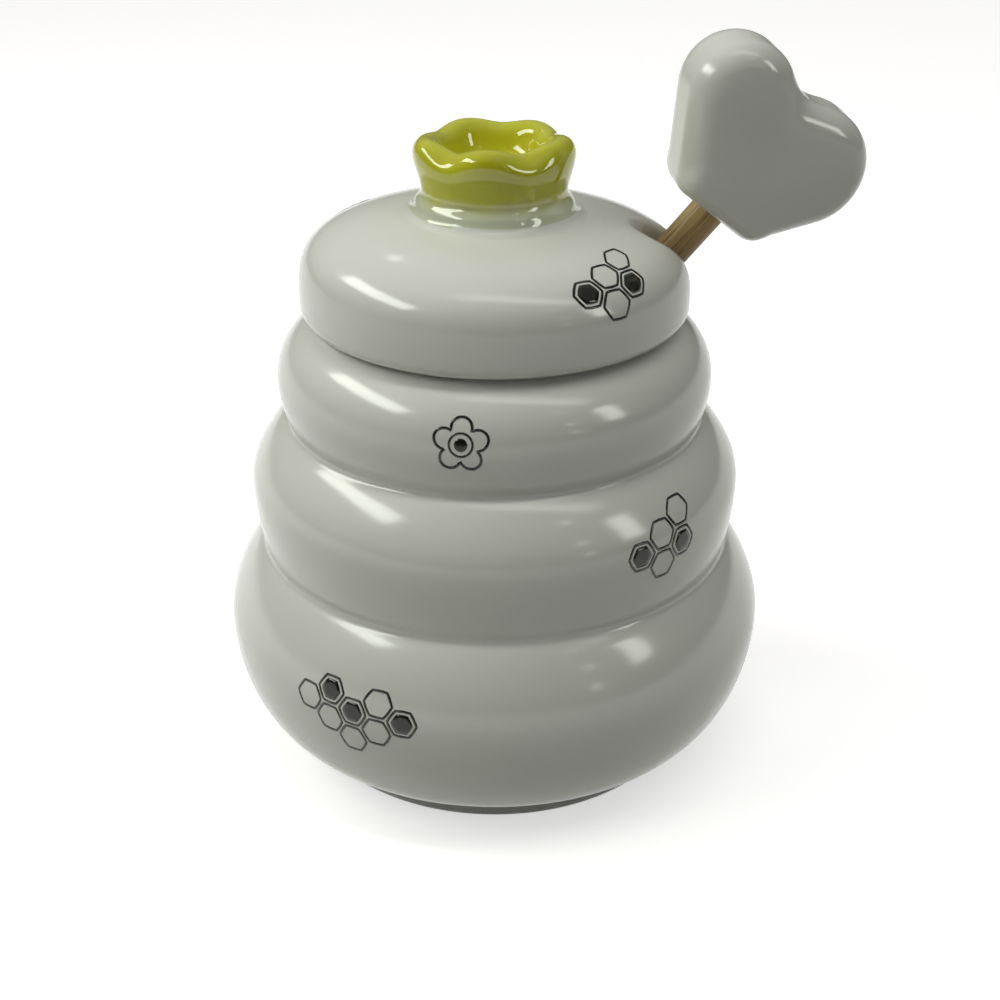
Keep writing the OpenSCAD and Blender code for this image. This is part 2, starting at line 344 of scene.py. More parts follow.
def joined(a, b, radius):
    """The distance to two solids that flow into each other."""
    return -common(-a, -b, radius)


SKIN_CELL = 0.42 * MM  # the grid on which the lid's and the heart's surfaces are found
SKIN_MARGIN = 1.6 * MM  # how far the grid reaches past the piece


def slide_onto(field, points, tries=3):
    """Moves points onto the surface where the field is zero."""
    tiny, least_steepness = 0.02 * MM, 0.25
    for _ in range(tries):
        slope = [(field(points + step) - field(points - step)) / (2 * tiny) for step in np.eye(3) * tiny]
        slope = np.column_stack(slope)
        steepness = np.maximum((slope**2).sum(axis=1), least_steepness)
        points = points - slope * (field(points) / steepness)[:, None]
    return points


def skin(field, low, high, cell, rounds=8):
    """Points and even quads of the surface where a field of distances is zero."""
    low = np.array(low)
    counts = np.ceil((np.array(high) - low) / cell).astype(int) + 1
    axes = [low[k] + cell * np.arange(counts[k]) for k in range(3)]
    grid = np.stack(np.meshgrid(*axes, indexing="ij"), axis=-1).reshape(-1, 3)
    inside = (field(grid) < 0).reshape(counts)
    corners_inside = sum(
        inside[i : counts[0] - 1 + i, j : counts[1] - 1 + j, k : counts[2] - 1 + k].astype(int)
        for i in (0, 1) for j in (0, 1) for k in (0, 1)
    )
    crossed = (corners_inside > 0) & (corners_inside < 8)
    index = np.full(crossed.shape, -1)
    index[crossed] = np.arange(crossed.sum())
    points = low + (np.argwhere(crossed) + 0.5) * cell
    faces = []
    for axis in range(3):
        u, v = (axis + 1) % 3, (axis + 2) % 3
        start, stop = [slice(1, -1)] * 3, [slice(1, -1)] * 3
        start[axis], stop[axis] = slice(0, -1), slice(1, None)
        here, there = inside[tuple(start)], inside[tuple(stop)]
        at = np.argwhere(here != there)
        at[:, [u, v]] += 1
        ring = []
        for back_u, back_v in ((1, 1), (0, 1), (0, 0), (1, 0)):
            beside = at.copy()
            beside[:, u] -= back_u
            beside[:, v] -= back_v
            ring.append(index[tuple(beside.T)])
        quads = np.column_stack(ring)
        entering = ~here[here != there]
        quads[entering] = quads[entering][:, ::-1]
        faces.append(quads)
    faces = np.vstack(faces)
    start, stop = faces.ravel(), np.roll(faces, -1, axis=1).ravel()
    neighbours = np.bincount(start, minlength=len(points))
    for _ in range(rounds):
        sums = [np.bincount(start, weights=points[stop, k], minlength=len(points)) for k in range(3)]
        points = slide_onto(field, np.column_stack(sums) / neighbours[:, None])
    return points, faces.tolist()


def turned_field(outline):
    """The distance from points to the solid that a half outline makes as it turns about Z."""
    distance = flat_field(np.vstack([outline, outline[::-1] * [-1, 1]]))
    return lambda points: distance(np.hypot(points[:, 0], points[:, 1]), points[:, 2])


def uneven(points, amount):
    """Moves points in and out a little, as a cast and fired wall is never quite true."""
    broad, narrow, narrow_share = 26 * MM, 7 * MM, 0.22
    least_r = 8 * MM  # keeps the middle of the floor and of the underside calm
    moved = points.copy()
    for k, point in enumerate(points):
        spot = Vector(point)
        swell = noise.noise(spot / broad) + narrow_share * noise.noise(spot / narrow)
        moved[k, :2] *= 1 + amount * swell / max(math.hypot(point[0], point[1]), least_r)
    return moved


def put_up(name, points, faces, finishes, body, node=None):
    """Makes a smooth mesh object with its finishes, riding on a body and standing for a CAD node."""
    mesh = bpy.data.meshes.new(name)
    mesh.from_pydata([tuple(p) for p in points], [], faces)
    mesh.shade_smooth()
    for finish in finishes:
        mesh.materials.append(finish)
    piece = bpy.data.objects.new(name, mesh)
    bpy.context.scene.collection.objects.link(piece)
    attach(piece, body)
    if node:
        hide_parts(node)
    return piece


def set_amount(piece, name, values):
    """Keeps a number for each point of a piece, for its finish to read."""
    layer = piece.data.attributes.new(name, "FLOAT", "POINT")
    layer.data.foreach_set("value", np.asarray(values, np.float32))


def moved_by(matrix, points):
    """Points taken through a matrix."""
    m = np.array(matrix)
    return points @ m[:3, :3].T + m[:3, 3]


# Finishes


def add(tree, kind, inputs=None, **settings):
    """Adds a node with its settings, and sets or links its input sockets."""
    node = tree.nodes.new(kind)
    for name, value in settings.items():
        setattr(node, name, value)
    for socket, value in (inputs or {}).items():
        if isinstance(value, bpy.types.NodeSocket):
            tree.links.new(value, node.inputs[socket])
        else:
            node.inputs[socket].default_value = value
    return node


def new_finish(name):
    """A new material and its empty node tree."""
    material = bpy.data.materials.new(name)
    material.use_nodes = True
    material.node_tree.nodes.clear()
    return material, material.node_tree


def close_finish(material, shader):
    """Links a shader to the material's output, and gives the material back."""
    add(material.node_tree, "ShaderNodeOutputMaterial", {"Surface": shader.outputs[0]})
    return material


def glaze_bump(tree, spot):
    """The faint ripple of a poured glaze that ran and settled, waves of about 4 mm and 0.6 mm."""
    ripple = add(tree, "ShaderNodeTexNoise", {"Vector": spot, "Scale": 1 / (4 * MM), "Detail": 1.0})
    peel = add(tree, "ShaderNodeTexNoise", {"Vector": spot, "Scale": 1 / (0.6 * MM), "Detail": 0.0})
    fine = add(tree, "ShaderNodeMath", {0: peel.outputs["Fac"], 1: 0.02}, operation="MULTIPLY")
    both = add(tree, "ShaderNodeMath", {0: ripple.outputs["Fac"], 1: fine.outputs[0]}, operation="ADD")
    return add(tree, "ShaderNodeBump", {"Height": both.outputs[0], "Strength": 1.0, "Distance": 0.03 * MM})


def glaze_shader(tree, spot, colour, roughness):
    """The clear, hard, slightly rippled shine of a fired glaze over its colour."""
    return add(
        tree, "ShaderNodeBsdfPrincipled",
        {"Base Color": colour.outputs["Result"], "Roughness": roughness, "IOR": 1.6,
         "Normal": glaze_bump(tree, spot).outputs[0]},
    )


def iron_specks(tree, spot, ground):
    """Sparse dark specks of iron burnt through the glaze, each about 0.3 mm wide."""
    spacing, speck_r = 9 * MM, 0.162 * MM
    kept_above, strength = 0.72, 0.75
    cells = add(tree, "ShaderNodeTexVoronoi", {"Vector": spot, "Scale": 1 / spacing})
    away, reach = cells.outputs["Distance"], speck_r / spacing
    dot = add(tree, "ShaderNodeMath", {0: away, 1: reach}, operation="LESS_THAN")
    parts = add(tree, "ShaderNodeSeparateColor", {"Color": cells.outputs["Color"]})
    chosen = add(tree, "ShaderNodeMath", {0: parts.outputs[0], 1: kept_above}, operation="GREATER_THAN")
    mask = add(tree, "ShaderNodeMath", {0: dot.outputs[0], 1: chosen.outputs[0]}, operation="MULTIPLY")
    part = add(tree, "ShaderNodeMath", {0: mask.outputs[0], 1: strength}, operation="MULTIPLY")
    return add(
        tree, "ShaderNodeMix",
        {"Factor": part.outputs[0], "A": ground, "B": srgb("#4A3F33")}, data_type="RGBA",
    )


def white_ground(tree, spot, colours):
    """The white glaze's colour, clouded, and greyer and greener where it pools, with painted shade in the
    grooves.
    """
    pool_and_shade = add(tree, "ShaderNodeAttribute", attribute_name="pool_and_shade")
    cloud = add(tree, "ShaderNodeTexNoise", {"Vector": spot, "Scale": 1 / (18 * MM), "Detail": 2.0})
    drift = add(
        tree, "ShaderNodeMapRange",
        {"Value": cloud.outputs["Fac"], "From Min": 0.3, "From Max": 0.7, "To Min": 0.0, "To Max": 0.22},
    )
    depth = add(
        tree, "ShaderNodeMath", {0: pool_and_shade.outputs["Fac"], 1: drift.outputs[0]}, operation="ADD", use_clamp=True
    )
    return add(
        tree, "ShaderNodeMix",
        {"Factor": depth.outputs[0], "A": tuple(colours.white), "B": tuple(colours.pooled_and_shaded)}, data_type="RGBA",
    ).outputs["Result"]


def white_glaze(colours):
    """Glossy tin-white glaze on earthenware: a clear hard shine over a milky body with a few iron specks."""
    material, tree = new_finish("white_glaze")
    spot = add(tree, "ShaderNodeTexCoord").outputs["Object"]
    colour = iron_specks(tree, spot, white_ground(tree, spot, colours))
    shader = glaze_shader(tree, spot, colour, 0.03)
    return close_finish(material, shader)


def lemon_glaze(colours, base_z):
    """Brushed lemon glaze under a clear one: strong in the cup, thin on the lips, fading to white below."""
    material, tree = new_finish("lemon_glaze")
    spot = add(tree, "ShaderNodeTexCoord").outputs["Object"]
    height = add(tree, "ShaderNodeSeparateXYZ", {"Vector": spot}).outputs["Z"]
    waver = add(tree, "ShaderNodeTexNoise", {"Vector": spot, "Scale": 1 / (5 * MM), "Detail": 2.0})
    lift = add(
        tree, "ShaderNodeMapRange",
        {"Value": waver.outputs["Fac"], "To Min": -0.8 * MM, "To Max": 0.8 * MM},
    )
    wavy = add(tree, "ShaderNodeMath", {0: height, 1: lift.outputs[0]}, operation="ADD")
    cover = add(
        tree, "ShaderNodeMapRange",
        {"Value": wavy.outputs[0], "From Min": base_z + 1.7 * MM, "From Max": base_z + 4.5 * MM},
        interpolation_type="SMOOTHSTEP",
    )
    pool_and_shade = add(tree, "ShaderNodeAttribute", attribute_name="pool_and_shade")
    brushed = add(tree, "ShaderNodeTexNoise", {"Vector": spot, "Scale": 1 / (3 * MM), "Detail": 3.0})
    streak = add(
        tree, "ShaderNodeMapRange",
        {"Value": brushed.outputs["Fac"], "From Min": 0.35, "From Max": 0.7, "To Min": 0.0, "To Max": 0.35},
    )
    depth = add(
        tree, "ShaderNodeMath",
        {0: pool_and_shade.outputs["Fac"], 1: streak.outputs[0]}, operation="ADD", use_clamp=True,
    )
    lemon = add(
        tree, "ShaderNodeMix",
        {"Factor": depth.outputs[0], "A": tuple(colours.lemon), "B": tuple(colours.lemon_deep)},
        data_type="RGBA",
    )
    colour = add(
        tree, "ShaderNodeMix",
        {"Factor": cover.outputs[0], "A": white_ground(tree, spot, colours), "B": lemon.outputs["Result"]},
        data_type="RGBA",
    )
    shader = glaze_shader(tree, spot, colour, 0.05)
    return close_finish(material, shader)


def bisque(colours):
    """Bare fired earthenware on the wiped foot ring: matt, chalky and a little stained."""
    material, tree = new_finish("bisque")
    spot = add(tree, "ShaderNodeTexCoord").outputs["Object"]
    grain = add(tree, "ShaderNodeTexNoise", {"Vector": spot, "Scale": 1 / (0.5 * MM), "Detail": 4.0})
    stain = add(tree, "ShaderNodeTexNoise", {"Vector": spot, "Scale": 1 / (9 * MM), "Detail": 2.0})
    shade = add(
        tree, "ShaderNodeMapRange", {"Value": stain.outputs["Fac"], "From Min": 0.4, "To Max": 0.5},
    )
    colour = add(
        tree, "ShaderNodeMix",
        {"Factor": shade.outputs[0], "A": tuple(colours.bisque), "B": srgb("#B3A68F")}, data_type="RGBA",
    )
    bump = add(tree, "ShaderNodeBump", {"Height": grain.outputs["Fac"], "Distance": 0.05 * MM})
    shader = add(
        tree, "ShaderNodeBsdfPrincipled",
        {"Base Color": colour.outputs["Result"], "Roughness": 0.9, "Normal": bump.outputs[0]},
    )
    return close_finish(material, shader)


def along_stick(tree, lean, across, along):
    """Coordinates that run along the leaning stick, for grain of this width and length."""
    spot = add(tree, "ShaderNodeTexCoord").outputs["Object"]
    upright = add(tree, "ShaderNodeVectorRotate", {"Vector": spot, "Angle": -lean}, rotation_type="Y_AXIS")
    return add(
        tree, "ShaderNodeMapping",
        {"Vector": upright.outputs[0], "Scale": (1 / across, 1 / across, 1 / along)},
    ).outputs[0]


def split_bamboo(colours, lean):
    """Sanded bamboo: straw-coloured, with long darker fibre bundles about 0.3 mm wide and a dull sheen."""
    material, tree = new_finish("split_bamboo")
    fine = along_stick(tree, lean, 0.32 * MM, 14 * MM)
    broad = along_stick(tree, lean, 1.6 * MM, 22 * MM)
    bundle = add(tree, "ShaderNodeTexNoise", {"Vector": fine, "Scale": 1.0, "Detail": 3.0, "Roughness": 0.6})
    band = add(tree, "ShaderNodeTexNoise", {"Vector": broad, "Scale": 1.0, "Detail": 2.0})
    dark = add(
        tree, "ShaderNodeMapRange",
        {"Value": bundle.outputs["Fac"], "From Min": 0.47, "From Max": 0.64, "To Max": 0.9},
    )
    tone = add(
        tree, "ShaderNodeMapRange",
        {"Value": band.outputs["Fac"], "From Min": 0.35, "From Max": 0.7, "To Max": 0.55},
    )
    total = add(tree, "ShaderNodeMath", {0: dark.outputs[0], 1: tone.outputs[0]}, operation="MAXIMUM")
    colour = add(
        tree, "ShaderNodeMix",
        {"Factor": total.outputs[0], "A": tuple(colours.bamboo), "B": tuple(colours.fibre)}, data_type="RGBA",
    )
    bump = add(
        tree, "ShaderNodeBump", {"Height": bundle.outputs["Fac"], "Strength": 0.8, "Distance": 0.06 * MM}
    )
    shader = add(
        tree, "ShaderNodeBsdfPrincipled",
        {"Base Color": colour.outputs["Result"], "Roughness": 0.55, "Normal": bump.outputs[0]},
    )
    return close_finish(material, shader)


def turned_beech(colours, lean):
    """Turned beech: pale tan with short dark flecks along the grain and fine lathe lines round it."""
    material, tree = new_finish("turned_beech")
    grain = along_stick(tree, lean, 0.9 * MM, 16 * MM)
    fleck = along_stick(tree, lean, 0.22 * MM, 1.3 * MM)
    rays = along_stick(tree, lean, 40 * MM, 0.35 * MM)
    figure = add(tree, "ShaderNodeTexNoise", {"Vector": grain, "Scale": 1.0, "Detail": 3.0})
    dashes = add(tree, "ShaderNodeTexNoise", {"Vector": fleck, "Scale": 1.0, "Detail": 0.0})
    lines = add(tree, "ShaderNodeTexNoise", {"Vector": rays, "Scale": 1.0, "Detail": 0.0})
    tone = add(
        tree, "ShaderNodeMapRange",
        {"Value": figure.outputs["Fac"], "From Min": 0.35, "From Max": 0.7, "To Max": 0.45},
    )
    dark = add(
        tree, "ShaderNodeMapRange",
        {"Value": dashes.outputs["Fac"], "From Min": 0.66, "From Max": 0.74, "To Max": 0.7},
    )
    total = add(tree, "ShaderNodeMath", {0: tone.outputs[0], 1: dark.outputs[0]}, operation="MAXIMUM")
    colour = add(
        tree, "ShaderNodeMix",
        {"Factor": total.outputs[0], "A": tuple(colours.beech), "B": srgb("#94693A")}, data_type="RGBA",
    )
    bump = add(
        tree, "ShaderNodeBump", {"Height": lines.outputs["Fac"], "Strength": 0.5, "Distance": 0.05 * MM}
    )
    shader = add(
        tree, "ShaderNodeBsdfPrincipled",
        {"Base Color": colour.outputs["Result"], "Roughness": 0.6, "Normal": bump.outputs[0]},
    )
    return close_finish(material, shader)


def fired_ink(colours):
    """Black ceramic print fired on the glaze: dense, thin and a touch duller than the glaze round it."""
    material, tree = new_finish("fired_ink")
    spot = add(tree, "ShaderNodeTexCoord").outputs["Object"]
    cover = add(tree, "ShaderNodeTexNoise", {"Vector": spot, "Scale": 1 / (0.7 * MM), "Detail": 2.0})
    worn = add(
        tree, "ShaderNodeMapRange",
        {"Value": cover.outputs["Fac"], "From Min": 0.5, "From Max": 0.8, "To Max": 0.35},
    )
    colour = add(
        tree, "ShaderNodeMix",
        {"Factor": worn.outputs[0], "A": tuple(colours.ink), "B": srgb("#3B3C34")}, data_type="RGBA",
    )
    shader = add(
        tree, "ShaderNodeBsdfPrincipled",
        {"Base Color": colour.outputs["Result"], "Roughness": 0.16, "IOR": 1.5},
    )
    return close_finish(material, shader)


def finish_named(name, make, *needs):
    """The finish that has this name, made at its first use."""
    return bpy.data.materials.get(name) or make(bpy.context.scene.honey_finishes, *needs)


# Pieces


def stick_frame(dipper, up):
    """The matrix of a place on the stick's line, up metres above the stick's middle, with Z along it."""
    middle = (stick_low + stick_high) / 2
    turned = Matrix.Rotation(dipper.lean, 4, "Y")
    return Matrix.Translation(middle) @ turned @ Matrix.Translation((0, 0, up))


def stick_length(dipper):
    """The stick's length, from the height of its box."""
    rise = stick_high.z - stick_low.z - dipper.stick_d * math.sin(dipper.lean)
    return rise / math.cos(dipper.lean)


def pooling_and_shade(outline, reach=2.6 * MM, full_depth=0.45 * MM):
    """How thick the glaze lies, and how dark the painted shade, along an outline: 0 on its crests, 1 in its
    grooves.
    """
    calm = averaged(outline, reach, 0.4 * MM)
    along = np.gradient(outline, axis=0)
    outward = np.column_stack([along[:, 1], -along[:, 0]])
    outward /= np.linalg.norm(outward, axis=1)[:, None]
    hollow = ((calm - outline) * outward).sum(axis=1)
    return np.clip(hollow / full_depth, 0, 1)


class HONEYPOT_OT_pot(bpy.types.Operator):
    """Turns the ringed pot, glazed inside and out, with a bare foot ring"""

    bl_idname = "honeypot.pot"
    bl_label = "Glazed Pot"

    def execute(self, context):
        pot = context.scene.honey_pot
        count, bare_h = 192, 0.25 * MM
        outline = soften(pot_outline(pot), 0.5 * MM)
        points, faces = turn(outline, count)
        inside_rim = np.hypot(points[:, 0], points[:, 1]) < pot.rim_flat_d / 2
        steady = inside_rim | (points[:, 2] < 1 * MM)
        points = np.where(steady[:, None], points, uneven(points, pot.unevenness))
        finishes = [finish_named("white_glaze", white_glaze), finish_named("bisque", bisque)]
        piece = put_up("glazed_pot", points, faces, finishes, "pot", "pot_body")
        # Thicker, greener glaze in the grooves, which also paints the shade that falls there
        thick = pooling_and_shade(outline)
        set_amount(piece, "pool_and_shade", np.append(np.repeat(thick[1:-1], count), [thick[0], thick[-1]]))
        for face in piece.data.polygons:
            face.material_index = int(face.center.z < bare_h)
        return {"FINISHED"}


def lid_outer(lid, pot):
    """The lid's outline from the middle of its underside over its edge to the middle of its top."""
    lid_r, flange_r = -lid_low.x, pot.mouth_d / 2 - lid.flange_gap
    taper = 1.5 * MM
    under = [[0, lid_low.z], [flange_r - taper, lid_low.z], [flange_r, pot.rim_z]]
    edge = quarter((lid_r, pot.rim_z + lid.edge_h), (lid_r - lid.tuck, pot.rim_z))[::-1]
    return soften(np.vstack([under, edge, lid_dome(lid, pot.rim_z)]), 0.25 * MM)


def dome_drop(lid, x, y):
    """How far the dome lies under its true height: it sank by the notch and stands high across from it."""
    start_x, run, half_width, high_share = -22 * MM, 46 * MM, 19 * MM, 0.6
    share = np.clip((x - start_x) / run, 0, 1)
    return lid.sag * (share * share * (3 - 2 * share) - high_share) * np.exp(-((y / half_width) ** 2))


def lid_field(lid, pot, dipper):
    """The distance to the lid: a domed shell with a flange, cut by the notch and by the stick's way."""
    outer = turned_field(lid_outer(lid, pot))
    hollow_r = pot.mouth_d / 2 - lid.flange_gap - lid.flange_t
    dome = lid_dome(lid, pot.rim_z, lid.wall)
    low = lid_low.z - 3 * MM  # below the flange, so that the hollow is open
    shaft = [[0, low], [hollow_r, low], [hollow_r, pot.rim_z + 1.2 * MM]]
    hollow = turned_field(soften(np.vstack([shaft, dome[4:]]), 0.5 * MM))
    half, reach = lid.notch_w / 2, -lid_low.x - lid.notch_reach
    notch_wall, edge_round, passage_top = 2.4 * MM, 0.6 * MM, pot.rim_z + 11 * MM
    inner_round, way_round, sinking_h = 1 * MM, 0.8 * MM, 8 * MM
    line = stick_frame(dipper, 0)
    foot, way = np.array(line.translation), np.array(line.col[2][:3])

    def sunk(points):
        """The points before the dome sank towards the notch."""
        high = np.clip((points[:, 2] - pot.rim_z) / sinking_h, 0, 1)
        drop = dome_drop(lid, points[:, 0], points[:, 1]) * high
        return points + np.column_stack([0 * drop, 0 * drop, drop])

    def distance(points):
        beyond = np.maximum(reach + half - points[:, 0], 0)
        slot = np.hypot(beyond, points[:, 1]) - half
        to_line = points - foot
        beside = to_line - (to_line @ way)[:, None] * way
        passage = np.maximum(np.linalg.norm(beside, axis=1) - half, points[:, 2] - passage_top)
        before = sunk(points)
        shell = common(outer(before), -common(hollow(before), notch_wall - slot, inner_round), edge_round)
        return common(shell, -joined(slot, passage, way_round), lid.notch_round)

    return distance


class HONEYPOT_OT_lid(bpy.types.Operator):
    """Forms the domed lid with its notch, its hollow and its flange"""

    bl_idname = "honeypot.lid"
    bl_label = "Lid"

    def execute(self, context):
        scene = context.scene
        lid, pot = scene.honey_lid, scene.honey_pot
        margin = Vector((1, 1, 1)) * SKIN_MARGIN
        low = Vector((lid_low.x, lid_low.x, lid_low.z)) - margin
        high = Vector((-lid_low.x, -lid_low.x, pot.rim_z + lid.edge_h + lid.dome_h)) + margin
        points, faces = skin(lid_field(lid, pot, scene.honey_dipper), low, high, SKIN_CELL)
        finishes = [finish_named("white_glaze", white_glaze)]
        put_up("glazed_lid", points, faces, finishes, "lid", "lid")
        return {"FINISHED"}


def knob_rows(knob, height):
    """The flower's rings along a petal, from its glazed foot over the lip into the cup, written in millimetres.

    Each is a radius, a height, and the share of the dips between the petals.
    """
    foot, lip = knob.foot_d / 2 / MM, (knob.rim_d / 2 + knob.petal_out) / MM
    deep = height - knob.cup / MM
    rows = [
        (foot + 3.3, -0.25, 0), (foot + 2.7, -0.12, 0), (foot + 2.1, -0.04, 0), (foot + 1.6, 0.02, 0),
        (foot + 1.1, 0.16, 0), (foot + 0.65, 0.44, 0), (foot + 0.3, 0.85, 0), (foot + 0.1, 1.3, 0),
        (foot - 0.05, 1.75, 0), (foot - 0.4, 2.2, 0), (foot - 0.8, 2.7, 0), (foot - 1, 3.4, 0),
        (lip - 1.05, 4.4, 0.02), (lip - 0.7, 5.6, 0.06), (lip - 0.3, 6.9, 0.18), (lip - 0.02, 8.2, 0.42),
        (lip, 9.3, 0.78), (lip - 0.4, 10.2, 1), (lip - 1.2, 10.75, 1), (lip - 2.3, 10.85, 1),
        (lip - 3.3, 10.4, 1), (lip - 4, 9.5, 0.9), (lip - 4.5, 8.3, 0.7),
    ]
    cup = [(lip - 5.1, deep + 1.8, 0.4), (lip - 6.2, deep + 0.8, 0.15), (lip - 7.6, deep + 0.5, 0)]
    return [(radius * MM, up * MM, share) for radius, up, share in rows + cup]


# Where the rim is pinched in between two petals, or hangs a little on one: azimuth in degrees, and depth as a
# share of the petals' rise
PINCHES = [(-129, 0.85), (-62, 0.75), (20, 0.5), (82, 0.45), (147, 0.55), (180, 0.25)]


def petal_dips(angle):
    """How deep the rim is pinched at each angle round the flower: 0 on a petal, most between two in front."""
    width = math.radians(20)
    dips = np.zeros_like(angle)
    for azimuth, depth in PINCHES:
        away = (angle - math.radians(azimuth) + math.pi) % (2 * math.pi) - math.pi
        dips += depth * np.exp(-((away / width) ** 2))
    return dips


class HONEYPOT_OT_knob(bpy.types.Operator):
    """Models the yellow flower cup that is the lid's knob"""

    bl_idname = "honeypot.knob"
    bl_label = "Flower Knob"

    def execute(self, context):
        knob, lid = context.scene.honey_knob, context.scene.honey_lid
        dome = lid_dome(lid, context.scene.honey_pot.rim_z)[::-1]
        columns, off_centre, white_h = 100, 0.25 * MM, 0.8 * MM
        settles_h, bottom_z = 4 * MM, knob_low.z - 0.8 * MM
        cup_r, cup_pool, middle_pool = knob.rim_d / 2 - 2.2 * MM, 0.1, 0.2
        angle = np.arange(columns) * 2 * math.pi / columns
        dips = petal_dips(angle)
        points, pool_and_shade = [], []
        for radius, height, share in knob_rows(knob, (knob_high.z - knob_low.z) / MM):
            out = radius - share * 1.1 * knob.petal_out * dips
            x, y = out * np.cos(angle) - off_centre * share, out * np.sin(angle)
            settled = np.clip(1 - height / settles_h, 0, 1)
            lid_z = np.interp(np.hypot(x, y), dome[:, 0], dome[:, 1]) - dome_drop(lid, x, y)
            up = knob_low.z + (lid_z - knob_low.z) * settled + height - share * 2 * knob.petal_up * dips
            points.append(np.column_stack([x, y, up]))
            pool_and_shade.append(np.full(columns, cup_pool if radius < cup_r else 0.0))
        rows = len(points)
        points = np.vstack([*points, [[0, 0, bottom_z]], [[0, 0, points[-1][0, 2]]]])
        here, after = np.arange(columns), (np.arange(columns) + 1) % columns
        faces = [
            [k * columns + a, k * columns + b, (k + 1) * columns + b, (k + 1) * columns + a]
            for k in range(rows - 1) for a, b in zip(here, after)
        ]
        last = (rows - 1) * columns
        faces += [[rows * columns, b, a] for a, b in zip(here, after)]
        faces += [[rows * columns + 1, last + a, last + b] for a, b in zip(here, after)]
        faces = [[int(i) for i in face] for face in faces]
        lemon = finish_named("lemon_glaze", lemon_glaze, knob_low.z)
        finishes = [lemon, finish_named("white_glaze", white_glaze)]
        piece = put_up("flower_cup", points, faces, finishes, "lid", "flower_knob")
        for face in piece.data.polygons:
            face.material_index = int(face.center.z < knob_low.z + white_h)
        set_amount(piece, "pool_and_shade", np.append(np.concatenate(pool_and_shade), [0, middle_pool]))
        smooth = piece.modifiers.new("smooth", "SUBSURF")
        smooth.levels = smooth.render_levels = 2
        return {"FINISHED"}


def heart_half(dipper, outer):
    """The outline of the outer or the inner half of the heart, stretched round its lobe and the blunt tip."""
    lobe_r = dipper.lobe_r + (dipper.lobe_skew if outer else -dipper.lobe_skew)
    lobe_at = (
        dipper.heart_w / 2 - lobe_r + (0 if outer else dipper.lobe_reach),
        dipper.heart_l - lobe_r - (dipper.lobe_skew if outer else 0),
    )
    corner = (dipper.tip_w / 2 - dipper.tip_r, dipper.tip_r)
    angle = np.linspace(0, 2 * math.pi, 96, endpoint=False)
    circle = np.column_stack([np.cos(angle), np.sin(angle)])
    discs = [circle * lobe_r + lobe_at]
    discs += [circle * dipper.tip_r + (side * corner[0], corner[1]) for side in (-1, 1)]
    spots = np.vstack(discs)
    return spots[convex_hull_2d([tuple(spot) for spot in spots])]


def heart_field(dipper):
    """The distance to the heart in its own frame: a rounded slab with crowned faces and a socket."""
    outer, inner = flat_field(heart_half(dipper, True)), flat_field(heart_half(dipper, False))
    cleft_r, cleft_z, crown = 5.6 * MM, 0.45 * dipper.heart_l, 0.7 * MM
    cleft_run, crown_run, socket_round = 4 * MM, 9 * MM, 0.5 * MM
    socket_r = dipper.stick_d / 2 + 0.4 * MM

    def distance(points):
        x, y, z = points.T
        softness = cleft_r * np.clip((z - cleft_z) / cleft_run, 0.001, 1)
        outline = joined(outer(x, z), inner(-x, z), softness)
        depth = np.clip(-outline / crown_run, 0, 1)
        thick = dipper.heart_t / 2 - crown * (1 - depth) ** 2
        rounding = np.where(y < 0, dipper.heart_round, dipper.back_round)
        out = outline + rounding
        up = np.abs(y) - thick + rounding
        past = np.hypot(np.maximum(out, 0), np.maximum(up, 0))
        slab = past + np.minimum(np.maximum(out, up), 0) - rounding
        around = np.hypot(x - dipper.heart_shift, y) - socket_r
        socket = np.maximum(around, z - dipper.socket)
        return common(slab, -socket, socket_round)

    return distance


class HONEYPOT_OT_heart(bpy.types.Operator):
    """Forms the glazed heart on the end of the dipper"""

    bl_idname = "honeypot.heart"
    bl_label = "Heart"

    def execute(self, context):
        dipper = context.scene.honey_dipper
        half_w, half_t = dipper.heart_w / 2 + SKIN_MARGIN, dipper.heart_t / 2 + SKIN_MARGIN
        low, high = (-half_w, -half_t, -SKIN_MARGIN), (half_w, half_t, dipper.heart_l + SKIN_MARGIN)
        points, faces = skin(heart_field(dipper), low, high, SKIN_CELL)
        tip = stick_length(dipper) / 2 - dipper.socket
        turned = Matrix.Rotation(dipper.heart_turn, 4, "Z") @ Matrix.Translation((-dipper.heart_shift, 0, 0))
        points = moved_by(stick_frame(dipper, tip) @ turned, points)
        finishes = [finish_named("white_glaze", white_glaze)]
        put_up("glazed_heart", points, faces, finishes, "dipper", "dipper_heart")
        return {"FINISHED"}


class HONEYPOT_OT_stick(bpy.types.Operator):
    """Splits and sands the bamboo stick"""

    bl_idname = "honeypot.stick"
    bl_label = "Bamboo Stick"

    def execute(self, context):
        dipper = context.scene.honey_dipper
        half, radius = stick_length(dipper) / 2, dipper.stick_d / 2
        outline = np.array([[0, -half], [radius, -half], [radius, half], [0, half]])
        points, faces = turn(soften(outline, 0.25 * MM, 0.5 * MM), 96)
        fibre_w, fibre_l, fibre_depth, mean_share = 0.45 * MM, 30 * MM, 0.016, 0.985
        for k, (x, y, z) in enumerate(points):
            turned = math.atan2(y, x)
            flats = 0.012 * math.cos(5 * turned + 0.4) + 0.008 * math.cos(9 * turned + 2)
            fibre = noise.noise((x / fibre_w, y / fibre_w, z / fibre_l))
            points[k, :2] *= mean_share + flats + fibre_depth * fibre
        points = moved_by(stick_frame(dipper, 0), points)
        finish = finish_named("split_bamboo", split_bamboo, dipper.lean)
        put_up("bamboo_stick", points, faces, [finish], "dipper", "dipper_stick")
        return {"FINISHED"}


